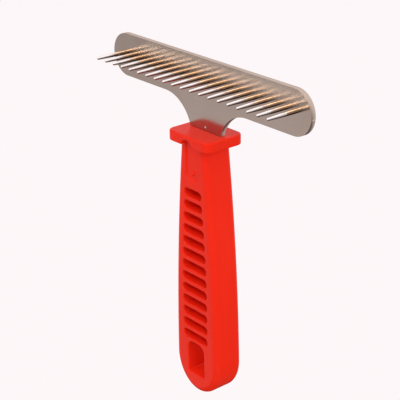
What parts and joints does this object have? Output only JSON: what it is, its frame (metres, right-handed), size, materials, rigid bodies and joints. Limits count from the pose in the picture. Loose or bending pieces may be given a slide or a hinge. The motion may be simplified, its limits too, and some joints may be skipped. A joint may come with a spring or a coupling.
{
  "type": "undercoat rake",
  "caption": "Pet undercoat rake: a T-shaped steel head plate with a straight row of fixed round pins, set in a slotted moulded plastic grip with a collar and a hang hole.",
  "frame": {"origin": "centre of the head plate's front face, on the row of pins", "axes": "+X along the head plate, +Y towards its back so that the pins point to -Y, +Z from the grip up to the head"},
  "size_m": [0.1094, 0.022, 0.1348],
  "materials": {
    "red_plastic": "glossy moulded red plastic",
    "plate_steel": "polished stainless sheet with a faint grain",
    "pin_steel": "bright polished steel wire"
  },
  "bodies": {
    "root": {"handle": "red_plastic", "head_plate": "plate_steel", "pin_01": "pin_steel", "pin_02": "pin_steel", "pin_03": "pin_steel", "pin_04": "pin_steel", "pin_05": "pin_steel", "pin_06": "pin_steel", "pin_07": "pin_steel", "pin_08": "pin_steel", "pin_09": "pin_steel", "pin_10": "pin_steel", "pin_11": "pin_steel", "pin_12": "pin_steel", "pin_13": "pin_steel", "pin_14": "pin_steel", "pin_15": "pin_steel", "pin_16": "pin_steel", "pin_17": "pin_steel", "pin_18": "pin_steel", "pin_19": "pin_steel", "pin_20": "pin_steel"}
  },
  "joints": []
}
